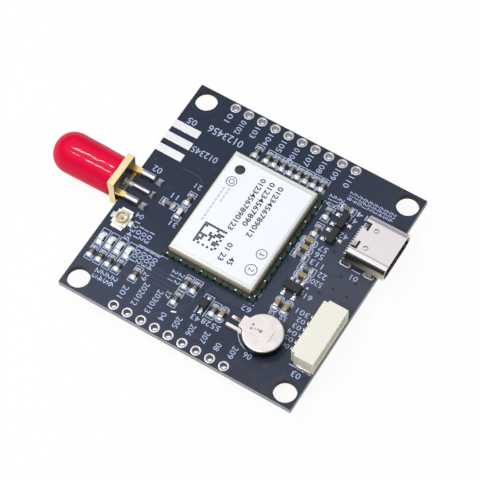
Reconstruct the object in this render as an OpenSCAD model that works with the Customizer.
// Satellite positioning receiver on a square carrier board, with a shielded receiver module,
// an edge antenna jack under its dust cap, a micro coax socket, a USB socket, a cable socket,
// a backup cell and the small chips around them.
// The origin is the middle of the four mounting holes on the board's underside.
// +Z points up through the board and +X points out of the USB socket.

/* [Circuit board] */
// Width of the board along X
board_w = 42.7; // [42.2:0.1:60]
// Depth of the board along Y
board_d = 42.7; // [42.2:0.1:60]
// Thickness of the board
board_t = 1.2; // [0.8:0.1:2]
// Distance between the mounting holes along X
hole_pitch_x = 38.1; // [37.4:0.1:38.2]
// Distance between the mounting holes along Y
hole_pitch_y = 38.1; // [37.4:0.1:38.2]
// Diameter of a mounting hole
hole_d = 3.8; // [2.5:0.1:3.9]
// Height of a plated pad above the board
pad_t = 0.05; // [0.03:0.01:0.1]

/* [Header holes] */
// Distance between neighbouring header holes
header_pitch = 2.54; // [2:0.01:2.6]
// Distance from a row's middle to the board's edge
header_inset = 1.03; // [0.95:0.01:1.3]
// First hole of the long row along X
header_start = -14.13; // [-14.6:0.01:-13]
// Holes in the long row
long_row_count = 10; // [2:1:12]
// Holes in the short row
short_row_count = 9; // [2:1:11]
// Outer diameter of an eyelet's land
eyelet_d = 1.75; // [1.4:0.05:1.8]
// Open diameter of an eyelet
eyelet_bore_d = 0.95; // [0.7:0.05:1.1]
// Wall of the plating in a hole
plating = 0.08; // [0.05:0.01:0.12]

/* [Antenna pads] */
// Length of an antenna pad from the board's edge
edge_pad_l = 4.85; // [4.2:0.05:5.5]
// Width of an antenna pad
edge_pad_w = 1.5; // [1.2:0.05:1.8]
// Distance between neighbouring antenna pads
edge_pad_pitch = 2.54; // [2.4:0.01:2.6]
// Middle of the spare antenna position along Y
spare_y = 10.23; // [9:0.01:11]

/* [Receiver module] */
// Middle of the module along X
module_x = -1.45; // [-1.6:0.01:-1.3]
// Middle of the module along Y
module_y = 2.2; // [2:0.01:2.3]
// Width of the module's board along X
module_w = 17; // [16.6:0.1:17.4]
// Length of the module's board along Y
module_l = 22; // [21.6:0.1:22.4]
// Thickness of the module's board
module_t = 0.8; // [0.6:0.05:1]
// Edge contacts on a short side
short_side_count = 13; // [3:1:14]
// Distance between edge contacts on a short side
short_side_pitch = 1.27; // [1.1:0.01:1.29]
// Edge contacts on a long side
long_side_count = 14; // [3:1:14]
// Distance between edge contacts on a long side
long_side_pitch = 1.55; // [1.2:0.01:1.58]
// Diameter of the half holes along the edges
half_hole_d = 0.6; // [0.4:0.05:0.7]

/* [Shield can] */
// Width of the can along X
shield_w = 15.4; // [14.6:0.1:15.8]
// Length of the can along Y
shield_l = 20.4; // [19.6:0.1:20.8]
// Height of the can above the module's board
shield_h = 1.55; // [1.3:0.05:2.5]
// Thickness of the sheet
shield_wall = 0.2; // [0.1:0.02:0.3]
// Outer radius of the bend along the top edges
shield_bend = 0.4; // [0.32:0.02:0.8]
// Width of the slit where two walls meet
corner_slit = 0.22; // [0.1:0.02:0.4]
// Width of the label along X
label_w = 14.4; // [10:0.1:14.5]
// Length of the label along Y
label_l = 19.2; // [12:0.1:19.4]
// Thickness of the label
label_t = 0.06; // [0.04:0.01:0.15]
// Radius of the label's corners
label_r = 0.4; // [0.1:0.1:2]
// Side of the square receiver chip
chip_side = 7; // [5:0.1:8]
// Height of the receiver chip
chip_h = 0.8; // [0.5:0.05:0.95]

/* [Antenna jack] */
// Middle of the jack along Y
jack_y = -0.58; // [-0.8:0.01:-0.5]
// Height of the jack's axis above the board's top
jack_rise = 0.03; // [0:0.01:0.2]
// Side of the square flange
flange_side = 6.35; // [6.25:0.05:8]
// Thickness of the flange
flange_t = 1.2; // [0.8:0.05:2]
// Gap between the flange and the board's edge
flange_gap = 0.9; // [0:0.05:2]
// Outer diameter of the barrel
barrel_d = 6.2; // [5.4:0.05:6.24]
// Length of the barrel
barrel_l = 8.6; // [6:0.1:9]
// Diameter of the neck behind the barrel's thread
neck_d = 5.5; // [5:0.1:5.8]
// Length of the neck
neck_l = 0.9; // [0.5:0.1:2]
// Width of a leg
leg_w = 1; // [0.8:0.05:1.2]
// Height of a leg
leg_h = 0.8; // [0.6:0.05:1.1]
// Length of a leg over the board
leg_l = 3.2; // [2.4:0.1:3.6]
// Diameter of the insulator
jack_core_d = 4.1; // [3.8:0.05:4.3]
// Depth of the insulator behind the barrel's mouth
jack_core_recess = 0.4; // [0.2:0.1:1.5]
// Diameter of the centre contact
contact_d = 1.27; // [1.15:0.01:1.5]
// Diameter of the hole in the contact's front end
contact_bore_d = 0.94; // [0.8:0.02:1]
// Depth of the hole in the contact's front end
contact_bore_l = 3; // [2:0.1:4]
// Diameter of the contact's tail
tail_d = 1; // [0.8:0.05:1.1]
// Length of the contact's tail over the board
tail_l = 3.6; // [2.8:0.1:4]

/* [Dust cap] */
// Length of the cap over all
cap_l = 12; // [10.6:0.1:14]
// Wall of the cap's sleeve at its mouth
cap_wall = 0.33; // [0.2:0.01:0.8]
// Growth of the cap's radius from its mouth to its rounded end
cap_flare = 0.13; // [0:0.01:0.3]
// Length of the cap's rounded end
cap_nose_l = 3.3; // [1:0.1:4.5]
// Flat left in the middle of the rounded end
cap_flat_r = 0.45; // [0.1:0.05:1]

/* [Micro coax socket] */
// Middle of the socket along X
coax_x = -18.8; // [-19.1:0.05:-18.4]
// Middle of the socket along Y
coax_y = -6.8; // [-7.1:0.05:-6.7]
// Side of the square base
coax_base = 2.6; // [2.3:0.05:2.7]
// Thickness of the base
coax_base_t = 0.35; // [0.25:0.05:0.5]
// Outer diameter of the ring
coax_ring_d = 2; // [1.8:0.05:2.1]
// Wall of the ring
coax_ring_wall = 0.18; // [0.1:0.02:0.3]
// Height of the ring above its base
coax_ring_h = 0.65; // [0.5:0.05:1.3]
// Diameter of the centre pin
coax_pin_d = 0.5; // [0.3:0.05:0.6]

/* [USB socket] */
// Middle of the socket along Y
usb_y = 9.05; // [8.6:0.05:9.2]
// Width of the shell
usb_w = 8.94; // [8.6:0.02:9.1]
// Height of the shell
usb_h = 3.2; // [3:0.05:3.6]
// Length of the shell
usb_l = 7; // [6.4:0.1:7.2]
// Distance by which the mouth stands out over the board's edge
usb_overhang = 1.25; // [1.2:0.05:2]
// Thickness of the shell's sheet
usb_wall = 0.3; // [0.2:0.02:0.34]
// Width of the tongue
tongue_w = 6.7; // [6.3:0.05:6.9]
// Thickness of the tongue
tongue_t = 0.7; // [0.6:0.02:0.8]
// Distance from the tongue's end to the mouth
tongue_recess = 0.9; // [0.5:0.1:1.5]
// Contacts on each side of the tongue
usb_contact_count = 12; // [4:1:12]
// Distance between neighbouring contacts
usb_contact_pitch = 0.5; // [0.4:0.01:0.52]
// Distance between the front and rear legs
usb_leg_pitch = 4.25; // [4:0.05:4.4]
// Length of a leg along X
usb_leg_l = 1.1; // [0.8:0.05:1.3]
// Length of a leg below the board's top
usb_leg_drop = 1.7; // [1:0.1:2]

/* [Cable socket] */
// Middle of the socket along Y
socket_y = -9.1; // [-9.3:0.05:-9]
// Length of the housing along Y
socket_l = 10.95; // [10.6:0.05:11.2]
// Depth of the housing along X
socket_depth = 4.15; // [3.8:0.05:4.3]
// Height of the housing
socket_h = 3.6; // [3.3:0.05:4.2]
// Distance from the housing's mouth to the board's edge
socket_setback = 0.1; // [0:0.05:0.4]
// Wall of the housing
socket_wall = 0.55; // [0.4:0.05:0.7]
// Pins in the socket
pin_count = 6; // [2:1:6]
// Distance between neighbouring pins
pin_pitch = 1.25; // [1:0.01:1.27]
// Side of a square pin
pin_side = 0.35; // [0.25:0.05:0.4]
// Length of a pin's foot behind the housing
pin_foot = 1.1; // [0.8:0.05:1.15]

/* [Backup cell] */
// Middle of the cell along X
cell_x = 11.5; // [11.3:0.05:11.7]
// Middle of the cell along Y
cell_y = -13.2; // [-13.5:0.05:-13]
// Diameter of the cell
cell_d = 6.8; // [6:0.1:7]
// Height of the cell
cell_h = 2.1; // [1.4:0.1:2.6]
// Diameter of the smaller cap under the cell
cell_cap_d = 5.2; // [4.6:0.1:5.4]
// Height of the smaller cap
cell_cap_h = 0.35; // [0.25:0.05:0.5]
// Thickness of the tabs
tab_t = 0.1; // [0.08:0.01:0.15]
// Width of the tab strips over and under the cell
tab_w = 2.2; // [1.8:0.1:2.6]
// Width of a tab's foot
tab_foot_w = 0.7; // [0.5:0.05:0.8]

/* [Small chips] */
// Length of a chip
chip_l = 1.6; // [1.5:0.02:1.7]
// Width of a chip
chip_w = 0.8; // [0.7:0.02:0.9]
// Height of a resistor
resistor_h = 0.45; // [0.35:0.05:0.6]
// Height of a capacitor
capacitor_h = 0.8; // [0.6:0.05:1]
// Height of the light-emitting diodes' bases
led_base_h = 0.3; // [0.2:0.05:0.4]
// Height of the light-emitting diodes' lenses
led_lens_h = 0.3; // [0.2:0.05:0.5]
// Length of a chip's metal ends
terminal_l = 0.3; // [0.2:0.02:0.4]
// Thickness of the metal on a chip's ends
terminal_t = 0.03; // [0.02:0.01:0.05]
// Reach and rise of the solder at a chip's end
solder_r = 0.32; // [0.2:0.02:0.34]
// Width of the transistors' bodies
transistor_w = 1.3; // [1.2:0.02:1.4]
// Length of the transistors' bodies
transistor_l = 2.9; // [2.8:0.02:3]
// Width of the regulator's body
regulator_w = 1.6; // [1.5:0.02:1.7]
// Height of the moulded bodies
mould_h = 1; // [0.8:0.05:1.2]
// Distance over the leads of the moulded bodies
lead_span = 2.6; // [2.4:0.02:2.7]
// Width of a lead
lead_w = 0.42; // [0.3:0.02:0.46]
// Thickness of a lead
lead_t = 0.15; // [0.1:0.01:0.2]

/* [Hidden] */
$fn = 48;
// Overcut of a subtracted shape
over = 0.1;
// Radial clearance of a round piece in its hole
fit = 0.01;
// Top of the pads, where every chip stands
deck = board_t + pad_t;

// Heights and edges that several pieces share
edge_x = board_w / 2;
header_y = board_d / 2 - header_inset;
module_deck = deck + module_t;
shield_top = module_deck + shield_h;
jack_z = board_t + jack_rise;
flange_x = -edge_x - flange_gap;
usb_mouth = edge_x + usb_overhang;
usb_rear = usb_mouth - usb_l;
usb_mid_z = board_t + usb_h / 2;
socket_front = edge_x - socket_setback;
socket_rear = socket_front - socket_depth;
pin_z = deck + socket_h * 0.45;
cell_z = deck + tab_t;

// Rows of small chips that follow the module's edges and each other
row_y = module_y + module_l / 2 + 1.75;
column_x = module_x + module_w / 2 + 1.85;
row_pitch = 1.465;
led_x = -19.73;
led_pitch = 1.683;
led_y = -11.3;
led_resistor_y = -14.15;
led_count = 4;
row_count = 8;
row_x = module_x - 3.15;
right_x = 11.15;
diode_w = 1.6;
diode_l = 1.25;
inductor_h = 0.65;
led_lens_l = chip_l - 2 * terminal_l - 0.04;
// Flat end of a lead, the solder before it and its pad beyond both
lead_foot = 0.4;
lead_solder_l = 0.34;
lead_pad_margin = 0.03;
lead_reach = lead_span / 2 + lead_solder_l + lead_pad_margin;
// Gap under a moulded body
mould_gap = 0.05;
regulator_span = lead_span + regulator_w - transistor_w;
// Solder lands under the module, from inside its edge to outside it
land_in = 0.4;
land_out = 0.25;
// Lane between the module's lands and the USB contacts' feet: one chip and one transistor stand
// in it abreast and the spare width is shared out between them
usb_pin_t = 0.15;
usb_foot = 0.85;
lane_left = module_x + module_w / 2 + land_out;
lane_right = usb_rear - usb_pin_t - usb_foot;
lane_spare = lane_right - lane_left - chip_w - 2 * lead_reach;
lane_chip_x = lane_left + lane_spare * 0.38 + chip_w / 2;
transistor_x = lane_right - lane_spare * 0.389 - lead_reach;
// Small plated dash in front of the module
dash_x = -2.9;
dash_y = -16.45;
dash_l = 0.9;
dash_w = 0.28;

// Where each chip lies: X, Y and its turn about Z
LEDS = [for (i = [0 : led_count - 1]) [led_x + i * led_pitch, led_y, 90]];
RESISTORS = concat(
    [for (i = [0 : row_count - 1]) [row_x + i * row_pitch, row_y, 90]],
    [[row_x - 2.15, row_y, 90]],
    [for (i = [0 : led_count - 1]) [led_x + i * led_pitch, led_resistor_y, 90]],
    [
        [-11.6, -14, 90], [-3.8, -11.2, 90], [-2.2, -11.2, 90], [-3.8, -14.4, 90],
        [2.4, -13.05, 90], [lane_chip_x, 11.05, 90], [lane_chip_x, 7.5, 90], [column_x, 2.3, 0],
        [right_x, 13.4, 0], [right_x, 0.75, 0], [-11.5, 1.75, 90], [-13.9, -0.55, 0]
    ]
);
CAPACITORS = [
    [3.9, -12.95, 90], [column_x, 5.2, 0], [column_x, 3.75, 0], [right_x, -0.7, 0],
    [10.28, -6.85, 90], [11.9, -6.85, 90]
];
INDUCTORS = [[-11.5, -1.1, 90]];
DIODES = [[0.65, -13, 90]];
TRANSISTORS = [[transistor_x, 10.9, 0], [transistor_x, 7.78, 0]];
REGULATORS = [[10.95, -3.3, 90]];
// Leads of the three-lead and five-lead bodies: side and offset along the body
TRANSISTOR_LEADS = [[-1, -0.95], [-1, 0.95], [1, 0]];
REGULATOR_LEADS = [[-1, -0.95], [-1, 0.95], [1, -0.95], [1, 0], [1, 0.95]];
DIODE_LEADS = [[-1, 0], [1, 0]];

// Small pieces inside the can: offset from the module's middle, width, length and height
RECEIVER_AT = [0, -3.5];
OSCILLATOR_AT = [-3.5, 4];
OSCILLATOR_SIZE = [2, 1.6, 0.7];
FILTER_AT = [[1, 7], [4, 7]];
FILTER_SIZE = [1.4, 1.1, 0.5];
MEMORY_AT = [3.5, 3.2];
MEMORY_SIZE = [3, 2, 0.6];

// Small shapes of the jack and the coax socket
mouth_chamfer = 0.3;
coax_tab = 0.65;
coax_tab_w = 2.1;
coax_tab_t = 0.15;

// Small shapes of the USB socket
usb_pin_w = 0.26;
usb_plug_l = 2.2;
usb_slit_y = 1.75;
usb_slit_l = 1.1;
usb_slit_w = 0.36;
usb_tab_w = 1.35;
usb_dimple_x = usb_rear + 2.3;

// Small shapes of the cable socket
anchor_t = 0.3;
anchor_l = 2.5;
anchor_h = 0.9;
anchor_x = socket_front - anchor_l / 2 - 0.25;
socket_step = 0.45;
socket_step_l = 0.7;

// Spaces around the legs of the USB socket
slot_w = usb_wall + 0.24;
slot_l = usb_leg_l + 0.5;
slot_land = 0.2;
usb_leg_x = usb_mouth - 2.55 - usb_leg_pitch;

// Ends of the cell's tabs
tab_reach = cell_d / 2 - 1.9;
tab_bend_x = cell_x - cell_d / 2 - 0.5;
tab_foot_x = tab_bend_x - 2.2;
tab_split = 0.77;

function header_holes(count, first, y) = [for (i = [0 : count - 1]) [first + i * header_pitch, y]];
function long_row() = header_holes(long_row_count, header_start, header_y);
function short_row() = header_holes(short_row_count, header_start + header_pitch, -header_y);
function usb_slots() = [
    for (x = [0, 1])
        for (side = [-1, 1])
            [usb_leg_x + x * usb_leg_pitch, usb_y + side * (usb_w - usb_wall) / 2]
];
function antenna_pads(y) = [for (i = [-1 : 1]) y + i * edge_pad_pitch];
// Half holes on the module's edge: X, Y and the outward direction
function half_holes() = concat(
    [
        for (side = [-1, 1])
            for (i = [0 : short_side_count - 1])
                [(i - (short_side_count - 1) / 2) * short_side_pitch, side * module_l / 2, side * 90]
    ],
    [
        for (side = [-1, 1])
            for (i = [0 : long_side_count - 1])
                [side * module_w / 2, (i - (long_side_count - 1) / 2) * long_side_pitch, 90 - side * 90]
    ]
);
// Quarter curve that hollows out a corner of radius r
function hollow(r, steps) = [
    for (i = [0 : steps]) [r * (1 - sin(90 * i / steps)), r * (1 - cos(90 * i / steps))]
];
// Quarter of an ellipse from a round side to its flat end
function nose(side_r, flat_r, depth, length, steps) = [
    for (i = [0 : steps])
        [flat_r + (side_r - flat_r) * cos(90 * i / steps), length - depth * (1 - sin(90 * i / steps))]
];

module block(low, high) {
    translate(low) cube(high - low);
}

// Plate with its middle at the origin, standing on Z = 0
module plate(w, l, t) {
    translate([-w / 2, -l / 2, 0]) cube([w, l, t]);
}

// Plate with round corners
module rounded_plate(w, l, t, r) {
    plate(w - 2 * r, l, t);
    plate(w, l - 2 * r, t);
    for (sx = [-1, 1])
        for (sy = [-1, 1])
            translate([sx * (w / 2 - r), sy * (l / 2 - r), 0]) cylinder(r = r, h = t);
}

// Bar with round ends along X
module stadium(l, w, h) {
    plate(l - w, w, h);
    for (s = [-1, 1])
        translate([s * (l - w) / 2, 0, 0]) cylinder(d = w, h = h);
}

// Outline in X and Z, drawn out along Y around the middle
module drawn_along_y(length) {
    translate([0, length / 2, 0]) rotate([90, 0, 0]) linear_extrude(length) children();
}

// Turned piece whose axis points along -X
module turned_along_minus_x() {
    rotate([0, -90, 0]) children();
}

module at(p) {
    translate([p[0], p[1], deck]) rotate([0, 0, p[2]]) children();
}

// Flat plated pad on the board's top
module pad(x, y, w, l) {
    translate([x, y, board_t]) plate(w, l, pad_t);
}

module circuit_board() {
    color([0.17, 0.19, 0.26]) difference() {
        plate(board_w, board_d, board_t);
        for (sx = [-1, 1])
            for (sy = [-1, 1])
                translate([sx * hole_pitch_x / 2, sy * hole_pitch_y / 2, -over])
                    cylinder(d = hole_d, h = board_t + 2 * over, $fn = 96);
        for (p = concat(long_row(), short_row()))
            translate([p[0], p[1], -over])
                cylinder(d = eyelet_bore_d + 2 * (plating + fit), h = board_t + 2 * over);
        for (p = usb_slots())
            translate([p[0], p[1], -over])
                stadium(slot_l + 2 * (plating + fit), slot_w + 2 * (plating + fit), board_t + 2 * over);
    }
}

// Plated hole: a barrel through the board with a land on each face
module eyelet() {
    difference() {
        union() {
            translate([0, 0, -pad_t]) cylinder(d = eyelet_d, h = pad_t);
            cylinder(d = eyelet_bore_d + 2 * plating, h = board_t);
            translate([0, 0, board_t]) cylinder(d = eyelet_d, h = pad_t);
        }
        translate([0, 0, -over]) cylinder(d = eyelet_bore_d, h = board_t + 2 * over);
    }
}

module long_row_eyelets() {
    color([0.8, 0.81, 0.84])
        for (p = long_row())
            translate([p[0], p[1], 0]) eyelet();
}

module short_row_eyelets() {
    color([0.8, 0.81, 0.84])
        for (p = short_row())
            translate([p[0], p[1], 0]) eyelet();
}

// Pad that starts at the board's -X edge
module edge_pad(y, z) {
    block([-edge_x, y - edge_pad_w / 2, z], [-edge_x + edge_pad_l, y + edge_pad_w / 2, z + pad_t]);
}

module spare_antenna_pads() {
    color([0.88, 0.88, 0.9])
        for (y = antenna_pads(spare_y))
            edge_pad(y, board_t);
}

module jack_pads() {
    color([0.75, 0.75, 0.77]) {
        for (y = antenna_pads(jack_y))
            edge_pad(y, board_t);
        for (side = [-1, 1])
            edge_pad(jack_y + side * edge_pad_pitch, -pad_t);
    }
}

// Pads under both ends of a chip
module chip_pads(p) {
    translate([p[0], p[1], board_t]) rotate([0, 0, p[2]])
        for (s = [-1, 1])
            translate([s * (chip_l / 2 + solder_r / 2 - terminal_l / 2), 0, 0])
                plate(terminal_l + solder_r, chip_w, pad_t);
}

// Pads under the feet of a body with leads
module lead_pads(p, span, leads) {
    translate([p[0], p[1], board_t]) rotate([0, 0, p[2]])
        for (lead = leads)
            translate([lead[0] * (span / 2 + (lead_solder_l - lead_foot) / 2), lead[1], 0])
                plate(lead_foot + lead_solder_l + 2 * lead_pad_margin, lead_w + 0.2, pad_t);
}

module solder_pads() {
    color([0.82, 0.82, 0.84]) {
        for (p = concat(LEDS, RESISTORS, CAPACITORS, INDUCTORS))
            chip_pads(p);
        for (p = DIODES)
            lead_pads(p, lead_span, DIODE_LEADS);
        for (p = TRANSISTORS)
            lead_pads(p, lead_span, TRANSISTOR_LEADS);
        for (p = REGULATORS)
            lead_pads(p, regulator_span, REGULATOR_LEADS);
        for (side = [-1, 1])
            pad(coax_x, coax_y + side * (coax_base / 2 + coax_tab / 2), coax_tab_w, coax_tab);
        for (side = [-1, 1])
            pad(coax_x + side * (coax_base / 2 + coax_tab / 2), coax_y, coax_tab, coax_tab_w / 2);
        for (y = pin_rows())
            pad(socket_rear - pin_foot / 2, y, pin_foot, pin_side + 0.2);
        for (side = [-1, 1])
            pad(anchor_x, socket_y + side * (socket_l + anchor_t) / 2, anchor_l, anchor_t);
        for (y = usb_rows())
            pad(usb_rear - usb_foot / 2 - usb_pin_t, y, usb_foot, usb_pin_w);
        for (side = [-1, 1])
            pad(tab_foot_x + 0.6, cell_y + side * tab_split, 1.2, tab_foot_w + 0.2);
        translate([dash_x, dash_y, board_t]) rotate([0, 0, 20]) plate(dash_l, dash_w, pad_t);
    }
}

// Board of the receiver module, with half holes along its four edges
module module_board() {
    color([0.05, 0.3, 0.22]) translate([module_x, module_y, deck]) difference() {
        plate(module_w, module_l, module_t);
        for (p = half_holes())
            translate([p[0], p[1], -over]) cylinder(d = half_hole_d, h = module_t + 2 * over, $fn = 24);
    }
}

// Half tube of metal in each half hole
module module_edge_contacts() {
    color([0.85, 0.8, 0.72]) translate([module_x, module_y, deck])
        for (p = half_holes())
            translate([p[0], p[1], 0]) rotate([0, 0, p[2]]) difference() {
                cylinder(d = half_hole_d - 2 * fit, h = module_t, $fn = 24);
                translate([0, 0, -over])
                    cylinder(d = half_hole_d - 2 * plating - 2 * fit, h = module_t + 2 * over, $fn = 24);
                translate([0, -half_hole_d, -over]) cube([half_hole_d, 2 * half_hole_d, module_t + 2 * over]);
            }
}

// Solder lands that the module stands on
module module_lands() {
    color([0.8, 0.8, 0.82]) translate([module_x, module_y, board_t])
        for (p = half_holes())
            translate([p[0], p[1], 0]) rotate([0, 0, p[2]])
                translate([(land_out - land_in) / 2, 0, 0])
                    plate(land_in + land_out, half_hole_d, pad_t);
}

// Box whose two top edges along Y are rounded
module arch(w, l, h, r) {
    plate(w, l, h - r);
    plate(w - 2 * r, l, h);
    for (s = [-1, 1])
        translate([s * (w / 2 - r), l / 2, h - r]) rotate([90, 0, 0]) cylinder(r = r, h = l);
}

// Box whose four top edges are rounded
module bent_box(w, l, h, r) {
    intersection() {
        arch(w, l, h, r);
        rotate([0, 0, 90]) arch(l, w, h, r);
    }
}

// Folded can: one sheet with four walls bent down and a slit at each corner
module module_shield() {
    color([0.86, 0.85, 0.8]) translate([module_x, module_y, module_deck]) difference() {
        bent_box(shield_w, shield_l, shield_h, shield_bend);
        translate([0, 0, -over]) bent_box(
            shield_w - 2 * shield_wall,
            shield_l - 2 * shield_wall,
            shield_h - shield_wall + over,
            shield_bend - shield_wall
        );
        for (sx = [-1, 1])
            for (sy = [-1, 1])
                translate([sx * shield_w / 2, sy * shield_l / 2, -over]) rotate([0, 0, sx * sy * 45])
                    plate(4 * shield_bend, corner_slit, shield_h - shield_bend + over);
    }
}

module module_label() {
    color([0.93, 0.94, 0.97]) translate([module_x, module_y, shield_top])
        rounded_plate(label_w, label_l, label_t, label_r);
}

// Plain chip on the module's board, inside the can
module inner_chip(at_xy, size) {
    translate([module_x + at_xy[0], module_y + at_xy[1], module_deck]) plate(size[0], size[1], size[2]);
}

module receiver_chip() {
    color([0.12, 0.12, 0.13]) inner_chip(RECEIVER_AT, [chip_side, chip_side, chip_h]);
}

module clock_oscillator() {
    color([0.75, 0.7, 0.55]) inner_chip(OSCILLATOR_AT, OSCILLATOR_SIZE);
}

module band_filters() {
    color([0.8, 0.76, 0.66])
        for (p = FILTER_AT)
            inner_chip(p, FILTER_SIZE);
}

module memory_chip() {
    color([0.15, 0.15, 0.16]) inner_chip(MEMORY_AT, MEMORY_SIZE);
}

// Flange, barrel and four legs, bored through for the insulator
module jack_body() {
    color([0.85, 0.74, 0.42]) difference() {
        union() {
            block(
                [flange_x - flange_t, jack_y - flange_side / 2, jack_z - flange_side / 2],
                [flange_x, jack_y + flange_side / 2, jack_z + flange_side / 2]
            );
            translate([flange_x - flange_t, jack_y, jack_z]) turned_along_minus_x() {
                cylinder(d = neck_d, h = neck_l);
                translate([0, 0, neck_l])
                    cylinder(d1 = neck_d, d2 = barrel_d, h = (barrel_d - neck_d) / 2);
                translate([0, 0, neck_l + (barrel_d - neck_d) / 2])
                    cylinder(d = barrel_d, h = barrel_l - neck_l - (barrel_d - neck_d) / 2 - mouth_chamfer);
                translate([0, 0, barrel_l - mouth_chamfer])
                    cylinder(d1 = barrel_d, d2 = barrel_d - 2 * mouth_chamfer, h = mouth_chamfer);
            }
            for (side = [-1, 1]) {
                leg(side, deck);
                leg(side, -pad_t - leg_h);
            }
        }
        translate([flange_x + over, jack_y, jack_z]) turned_along_minus_x()
            cylinder(d = jack_core_d + 2 * fit, h = flange_t + barrel_l + 2 * over);
    }
}

// Leg from the flange over an antenna pad
module leg(side, z) {
    y = jack_y + side * edge_pad_pitch;
    block([flange_x, y - leg_w / 2, z], [-edge_x + leg_l, y + leg_w / 2, z + leg_h]);
}

module jack_insulator() {
    color([0.22, 0.21, 0.2]) translate([flange_x, jack_y, jack_z]) turned_along_minus_x() difference() {
        cylinder(d = jack_core_d, h = flange_t + barrel_l - jack_core_recess);
        translate([0, 0, -over])
            cylinder(d = contact_d + 2 * fit, h = flange_t + barrel_l + 2 * over);
    }
}

// Contact with a socket at its front and a flat-bottomed tail on the middle pad
module jack_contact() {
    color([0.84, 0.76, 0.5]) {
        difference() {
            union() {
                translate([flange_x, jack_y, jack_z]) turned_along_minus_x()
                    cylinder(d = contact_d, h = flange_t + barrel_l - jack_core_recess);
                jack_tail();
            }
            translate([flange_x - flange_t - barrel_l, jack_y, jack_z]) rotate([0, 90, 0])
                cylinder(d = contact_bore_d, h = contact_bore_l + jack_core_recess);
        }
    }
}

module jack_tail() {
    intersection() {
        translate([-edge_x + tail_l, jack_y, jack_z]) turned_along_minus_x()
            cylinder(d = tail_d, h = tail_l + flange_gap);
        block(
            [flange_x, jack_y - tail_d, deck],
            [-edge_x + tail_l, jack_y + tail_d, jack_z + tail_d]
        );
    }
}

// Solder along a leg or the tail: full along the metal, hollowed towards the pad's end
module solder_run(y, start, stop, w, rise) {
    run = edge_pad_l - 0.15 - stop;
    top = hollow(1, 6);
    translate([0, y, deck]) drawn_along_y(w)
        polygon(concat(
            [[-edge_x + start, 0]],
            [for (i = [0 : 6]) [-edge_x + stop + run * top[i][0], rise * top[i][1]]],
            [[-edge_x + start, rise]]
        ));
}

module jack_solder() {
    color([0.78, 0.78, 0.8]) {
        for (side = [-1, 1])
            difference() {
                solder_run(jack_y + side * edge_pad_pitch, 0.75, leg_l, edge_pad_w - 0.1, leg_h * 0.7);
                leg(side, deck);
            }
        difference() {
            solder_run(jack_y, 0.75, tail_l, edge_pad_w - 0.3, tail_d * 0.4);
            jack_tail();
        }
        for (side = [-1, 1])
            difference() {
                translate([0, 0, board_t]) mirror([0, 0, 1])
                    solder_run(jack_y + side * edge_pad_pitch, 0.75, leg_l, edge_pad_w - 0.1, leg_h * 0.7);
                leg(side, -pad_t - leg_h);
            }
    }
}

// Push-on cap: a thin sleeve over the barrel with a solid rounded end
module dust_cap() {
    mouth_r = barrel_d / 2 + fit + cap_wall;
    color([0.86, 0.06, 0.2]) translate([flange_x - flange_t, jack_y, jack_z]) turned_along_minus_x()
        difference() {
            rotate_extrude($fn = 96)
                polygon(concat(
                    [[0, 0], [mouth_r, 0]],
                    nose(mouth_r + cap_flare, cap_flat_r, cap_nose_l, cap_l, 12),
                    [[0, cap_l]]
                ));
            translate([0, 0, -over]) cylinder(d = barrel_d + 2 * fit, h = barrel_l + 0.3 + over);
        }
}

module coax_base() {
    color([0.93, 0.91, 0.86]) translate([coax_x, coax_y, deck]) difference() {
        plate(coax_base, coax_base, coax_base_t);
        coax_signal();
    }
}

// Ring that stands on the base, with a ground tab down to the board on three sides
module coax_ring() {
    color([0.83, 0.74, 0.5]) translate([coax_x, coax_y, deck]) {
        translate([0, 0, coax_base_t]) difference() {
            cylinder(d = coax_ring_d, h = coax_ring_h);
            translate([0, 0, 0.12])
                cylinder(d = coax_ring_d - 2 * coax_ring_wall, h = coax_ring_h);
            translate([0, 0, -over]) cylinder(d = coax_pin_d + 0.3, h = 1);
        }
        for (side = [-1, 1]) {
            translate([0, side * (coax_base + coax_tab) / 2, 0]) plate(coax_tab_w, coax_tab, coax_tab_t);
            translate([0, side * (coax_base / 2 + coax_tab_t / 2), 0])
                plate(coax_tab_w * 0.7, coax_tab_t, coax_base_t + coax_tab_t);
            translate([0, side * coax_base / 2 - side * coax_base / 8, coax_base_t])
                plate(coax_tab_w * 0.7, coax_base / 4 + coax_tab_t, coax_tab_t);
        }
        translate([-(coax_base + coax_tab) / 2, 0, 0]) plate(coax_tab, coax_tab_w / 2, coax_tab_t);
        translate([-(coax_base + coax_tab_t) / 2, 0, 0])
            plate(coax_tab_t, coax_tab_w / 2, coax_base_t + coax_tab_t);
        translate([-coax_base * 3 / 8 - coax_tab_t / 2, 0, coax_base_t])
            plate(coax_base / 4 + coax_tab_t, coax_tab_w / 2, coax_tab_t);
    }
}

// Centre pin and the strip that carries it out through the base
module coax_signal() {
    cylinder(d = coax_pin_d, h = coax_base_t + coax_ring_h * 0.85);
    translate([0, -coax_tab_w / 8, 0]) cube([coax_base / 2 + coax_tab, coax_tab_w / 4, coax_tab_t]);
}

module coax_pin() {
    color([0.85, 0.77, 0.55]) translate([coax_x, coax_y, deck]) coax_signal();
}

function usb_rows() = [
    for (i = [0 : usb_contact_count - 1]) usb_y + (i - (usb_contact_count - 1) / 2) * usb_contact_pitch
];

// Bar with the round-ended section of the shell, along X from a start
module usb_bar(start, length, w, h) {
    translate([start, usb_y, usb_mid_z]) rotate([90, 0, 90]) stadium(w, h, length);
}

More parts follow.
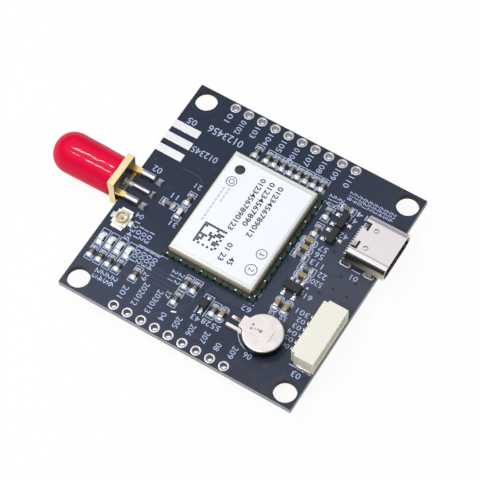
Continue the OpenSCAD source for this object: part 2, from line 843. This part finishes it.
// Drawn shell with rear slits, two spring dimples and four legs through the board
module usb_shell() {
    color([0.88, 0.87, 0.88]) {
        difference() {
            usb_bar(usb_rear, usb_l, usb_w, usb_h);
            usb_bar(usb_rear - over, usb_l + 2 * over, usb_w - 2 * usb_wall, usb_h - 2 * usb_wall);
            for (side = [-1, 1]) {
                translate([0, usb_y + side * usb_slit_y, 0]) {
                    block(
                        [usb_rear - over, -usb_slit_w / 2 + side * usb_tab_w / 2, usb_mid_z],
                        [usb_rear + usb_slit_l, usb_slit_w / 2 + side * usb_tab_w / 2, usb_mid_z + usb_h]
                    );
                    block(
                        [usb_rear + usb_slit_l - usb_slit_w, -usb_tab_w / 2, usb_mid_z],
                        [usb_rear + usb_slit_l, usb_tab_w / 2, usb_mid_z + usb_h]
                    );
                }
                translate([usb_dimple_x, usb_y + side * usb_slit_y, board_t + usb_h - 0.08])
                    difference() {
                        cylinder(d = 0.75, h = 1);
                        translate([0, 0, -over]) cylinder(d = 0.4, h = 2);
                    }
            }
        }
        for (p = usb_slots())
            translate([p[0], p[1], board_t - usb_leg_drop])
                plate(usb_leg_l, usb_wall, usb_leg_drop + usb_h / 2);
    }
}

// Contact with a foot behind the shell, a riser and a strip along the tongue's top
module usb_upper_contact(y) {
    strip_top = usb_mid_z + tongue_t / 2;
    riser_x = usb_rear - usb_pin_t;
    translate([0, y - usb_pin_w / 2, 0]) {
        block(
            [riser_x - usb_foot, 0, deck],
            [riser_x + usb_pin_t, usb_pin_w, deck + usb_pin_t]
        );
        block([riser_x, 0, deck], [riser_x + usb_pin_t, usb_pin_w, strip_top]);
        block(
            [riser_x, 0, strip_top - usb_pin_t],
            [usb_mouth - tongue_recess - 0.4, usb_pin_w, strip_top]
        );
    }
}

// Shorter strip along the tongue's underside
module usb_lower_contact(y) {
    strip_low = usb_mid_z - tongue_t / 2;
    block(
        [usb_rear + usb_plug_l / 2, y - usb_pin_w / 2, strip_low],
        [usb_mouth - tongue_recess - 0.4, y + usb_pin_w / 2, strip_low + usb_pin_t]
    );
}

module usb_contacts() {
    color([0.86, 0.8, 0.6])
        for (y = usb_rows()) {
            usb_upper_contact(y);
            usb_lower_contact(y);
        }
}

// Moulded plug that closes the shell's rear, with the tongue in front
module usb_insulator() {
    color([0.13, 0.13, 0.14]) difference() {
        union() {
            usb_bar(usb_rear, usb_plug_l, usb_w - 2 * usb_wall - 2 * fit, usb_h - 2 * usb_wall - 2 * fit);
            block(
                [usb_rear + usb_plug_l, usb_y - tongue_w / 2, usb_mid_z - tongue_t / 2],
                [usb_mouth - tongue_recess, usb_y + tongue_w / 2, usb_mid_z + tongue_t / 2]
            );
        }
        for (y = usb_rows()) {
            usb_upper_contact(y);
            usb_lower_contact(y);
        }
    }
}

// Plated slots that the shell's legs pass through
module usb_slot_eyelets() {
    color([0.86, 0.86, 0.88])
        for (p = usb_slots())
            translate([p[0], p[1], 0]) difference() {
                union() {
                    translate([0, 0, -pad_t])
                        stadium(slot_l + 2 * slot_land, slot_w + 2 * slot_land, pad_t);
                    stadium(slot_l + 2 * plating, slot_w + 2 * plating, board_t);
                    translate([0, 0, board_t])
                        stadium(slot_l + 2 * slot_land, slot_w + 2 * slot_land, pad_t);
                }
                translate([0, 0, -over]) stadium(slot_l, slot_w, board_t + 2 * over);
            }
}

function pin_rows() = [for (i = [0 : pin_count - 1]) socket_y + (i - (pin_count - 1) / 2) * pin_pitch];

// Housing with its mouth towards +X and stepped rear corners
module socket_housing() {
    color([0.91, 0.89, 0.82]) difference() {
        union() {
            block(
                [socket_rear + socket_step_l, socket_y - socket_l / 2, board_t],
                [socket_front, socket_y + socket_l / 2, board_t + socket_h]
            );
            block(
                [socket_rear, socket_y - socket_l / 2 + socket_step, board_t],
                [socket_rear + socket_step_l, socket_y + socket_l / 2 - socket_step, board_t + socket_h]
            );
        }
        block(
            [socket_rear + 2 * socket_wall, socket_y - socket_l / 2 + socket_wall, board_t + socket_wall],
            [socket_front + over, socket_y + socket_l / 2 - socket_wall, board_t + socket_h - socket_wall]
        );
        for (y = pin_rows())
            socket_pin(y);
    }
}

// Pin with a foot on the board, a riser behind the housing and a blade in its mouth
module socket_pin(y) {
    translate([0, y - pin_side / 2, 0]) {
        block(
            [socket_rear - pin_foot, 0, deck],
            [socket_rear, pin_side, deck + pin_side * 0.6]
        );
        block([socket_rear - pin_side, 0, deck], [socket_rear, pin_side, pin_z + pin_side]);
        block([socket_rear - pin_side, 0, pin_z], [socket_front - 0.9, pin_side, pin_z + pin_side]);
    }
}

module socket_pins() {
    color([0.87, 0.86, 0.84])
        for (y = pin_rows())
            socket_pin(y);
}

// Metal tab against each end of the housing, soldered to the board
module socket_anchors() {
    color([0.88, 0.88, 0.9])
        for (side = [-1, 1])
            translate([anchor_x, socket_y + side * (socket_l + anchor_t) / 2, deck])
                plate(anchor_l, anchor_t, anchor_h);
}

// Sealed cell: the wide can above, the smaller cap below
module backup_cell() {
    edge_r = 0.3;
    color([0.85, 0.83, 0.83]) translate([cell_x, cell_y, cell_z]) rotate_extrude($fn = 96)
        polygon(concat(
            [[0, 0], [cell_cap_d / 2, 0], [cell_cap_d / 2, cell_cap_h], [cell_d / 2, cell_cap_h]],
            nose(cell_d / 2, cell_d / 2 - edge_r, edge_r, cell_h, 6),
            [[0, cell_h]]
        ));
}

// Ring that seals the gap between the cap and the can's rim
module cell_gasket() {
    color([0.2, 0.2, 0.22]) translate([cell_x, cell_y, cell_z + cell_cap_h * 0.4]) difference() {
        cylinder(d = cell_cap_d + 0.8, h = cell_cap_h * 0.6);
        translate([0, 0, -over]) cylinder(d = cell_cap_d + 2 * fit, h = cell_h);
    }
}

// Strip across the cell with a rounded far end
module tab_strip(z) {
    translate([(tab_bend_x + cell_x + tab_reach) / 2, cell_y, z])
        rounded_plate(cell_x + tab_reach - tab_bend_x, tab_w, tab_t, 0.3);
}

// Welded to the can's top, bent down beside the cell to its own foot
module cell_top_tab() {
    color([0.88, 0.86, 0.86]) {
        tab_strip(cell_z + cell_h);
        translate([0, cell_y + tab_split - tab_foot_w / 2, 0]) {
            block(
                [tab_bend_x, 0, deck],
                [tab_bend_x + tab_t, tab_foot_w, cell_z + cell_h + tab_t]
            );
            block([tab_foot_x, 0, deck], [tab_bend_x + tab_t, tab_foot_w, deck + tab_t]);
        }
    }
}

// Welded to the cap's underside, straight out to its own foot
module cell_bottom_tab() {
    color([0.88, 0.86, 0.86]) {
        translate([cell_x, cell_y, deck]) plate(2 * tab_reach, tab_w, tab_t);
        translate([0, cell_y - tab_split - tab_foot_w / 2, deck])
            block([tab_foot_x - 0.2, 0, 0], [cell_x, tab_foot_w, tab_t]);
    }
}

// Core of a chip, inside the metal on its ends
module chip_core(h) {
    translate([0, 0, terminal_t])
        plate(chip_l - 2 * terminal_t, chip_w - 2 * terminal_t, h - 2 * terminal_t);
}

// Metal that wraps both ends of a chip
module chip_ends(h) {
    difference() {
        for (s = [-1, 1])
            translate([s * (chip_l - terminal_l) / 2, 0, 0]) plate(terminal_l, chip_w, h);
        chip_core(h);
    }
}

module led_bases() {
    color([0.9, 0.92, 0.9])
        for (p = LEDS)
            at(p) chip_core(led_base_h);
}

module led_terminals() {
    color([0.84, 0.84, 0.84])
        for (p = LEDS)
            at(p) chip_ends(led_base_h);
}

// Clear lens moulded on the base between the terminals
module led_lenses() {
    color([0.93, 0.96, 0.93])
        for (p = LEDS)
            at(p) translate([0, 0, led_base_h - terminal_t])
                drawn_along_y(chip_w - 2 * terminal_t) polygon([
                    [-led_lens_l / 2, 0], [led_lens_l / 2, 0],
                    [led_lens_l / 2 - 0.06, led_lens_h], [-led_lens_l / 2 + 0.06, led_lens_h]
                ]);
}

module resistor_bodies() {
    color([0.16, 0.16, 0.18])
        for (p = RESISTORS)
            at(p) chip_core(resistor_h);
}

module resistor_terminals() {
    color([0.82, 0.82, 0.84])
        for (p = RESISTORS)
            at(p) chip_ends(resistor_h);
}

module capacitor_bodies() {
    color([0.66, 0.56, 0.38])
        for (p = CAPACITORS)
            at(p) chip_core(capacitor_h);
}

module capacitor_terminals() {
    color([0.84, 0.84, 0.85])
        for (p = CAPACITORS)
            at(p) chip_ends(capacitor_h);
}

module inductor_body() {
    color([0.86, 0.85, 0.8])
        for (p = INDUCTORS)
            at(p) chip_core(inductor_h);
}

module inductor_terminals() {
    color([0.84, 0.84, 0.85])
        for (p = INDUCTORS)
            at(p) chip_ends(inductor_h);
}

// Concave solder at both ends of every chip
module chip_solder() {
    color([0.86, 0.86, 0.87])
        for (p = concat(LEDS, RESISTORS, CAPACITORS, INDUCTORS))
            at(p)
                for (turn = [0, 180])
                    rotate([0, 0, turn]) translate([chip_l / 2, 0, 0]) drawn_along_y(chip_w)
                        polygon(concat([[0, 0]], hollow(min(solder_r, led_base_h), 4)));
}

// Solder in front of the feet of a body with leads
module lead_fillets(span, leads) {
    for (lead = leads)
        translate([lead[0] * span / 2, lead[1], 0]) rotate([0, 0, lead[0] > 0 ? 0 : 180])
            drawn_along_y(lead_w + 0.1)
                polygon([[0, 0], [lead_solder_l, 0], [lead_solder_l * 0.5, lead_t * 0.7], [0, lead_t]]);
}

module lead_solder() {
    color([0.88, 0.88, 0.89]) {
        for (p = DIODES)
            at(p) lead_fillets(lead_span, DIODE_LEADS);
        for (p = TRANSISTORS)
            at(p) lead_fillets(lead_span, TRANSISTOR_LEADS);
        for (p = REGULATORS)
            at(p) lead_fillets(regulator_span, REGULATOR_LEADS);
    }
}

// Moulded body with drafted sides, its leads leave at half height
module moulded_body(w, l) {
    draft = 0.08;
    translate([0, 0, mould_gap]) drawn_along_y(l)
        polygon([
            [-w / 2 + draft, 0], [w / 2 - draft, 0], [w / 2, mould_h / 2],
            [w / 2 - draft, mould_h], [-w / 2 + draft, mould_h], [-w / 2, mould_h / 2]
        ]);
}

// Bent lead from a body's side down to the board
module bent_lead(w, span) {
    out = (span - w) / 2;
    knee = (out - lead_foot) / 2;
    drop = mould_gap + mould_h / 2;
    translate([w / 2, 0, 0]) drawn_along_y(lead_w)
        polygon([
            [0, drop], [knee, drop], [out - lead_foot, lead_t], [out, lead_t],
            [out, 0], [out - lead_foot - lead_t / 2, 0], [knee - lead_t / 2, drop - lead_t],
            [0, drop - lead_t]
        ]);
}

module bent_leads(w, span, leads) {
    for (lead = leads)
        translate([0, lead[1], 0]) rotate([0, 0, lead[0] > 0 ? 0 : 180])
            difference() {
                bent_lead(w, span);
                moulded_body(w, transistor_l * 2);
            }
}

module diode_body() {
    color([0.13, 0.13, 0.15])
        for (p = DIODES)
            at(p) moulded_body(diode_w, diode_l);
}

module diode_leads() {
    color([0.84, 0.84, 0.86])
        for (p = DIODES)
            at(p) bent_leads(diode_w, lead_span, DIODE_LEADS);
}

module transistor_bodies() {
    color([0.12, 0.12, 0.14])
        for (p = TRANSISTORS)
            at(p) moulded_body(transistor_w, transistor_l);
}

module transistor_leads() {
    color([0.84, 0.84, 0.86])
        for (p = TRANSISTORS)
            at(p) bent_leads(transistor_w, lead_span, TRANSISTOR_LEADS);
}

module regulator_body() {
    color([0.12, 0.12, 0.14])
        for (p = REGULATORS)
            at(p) moulded_body(regulator_w, transistor_l);
}

module regulator_leads() {
    color([0.84, 0.84, 0.86])
        for (p = REGULATORS)
            at(p) bent_leads(regulator_w, regulator_span, REGULATOR_LEADS);
}

circuit_board();
long_row_eyelets();
short_row_eyelets();
spare_antenna_pads();
jack_pads();
solder_pads();
module_board();
module_edge_contacts();
module_lands();
module_shield();
module_label();
receiver_chip();
clock_oscillator();
band_filters();
memory_chip();
jack_body();
jack_insulator();
jack_contact();
jack_solder();
dust_cap();
coax_base();
coax_ring();
coax_pin();
usb_shell();
usb_insulator();
usb_contacts();
usb_slot_eyelets();
socket_housing();
socket_pins();
socket_anchors();
backup_cell();
cell_gasket();
cell_top_tab();
cell_bottom_tab();
led_bases();
led_lenses();
led_terminals();
resistor_bodies();
resistor_terminals();
capacitor_bodies();
capacitor_terminals();
inductor_body();
inductor_terminals();
diode_body();
diode_leads();
transistor_bodies();
transistor_leads();
regulator_body();
regulator_leads();
chip_solder();
lead_solder();
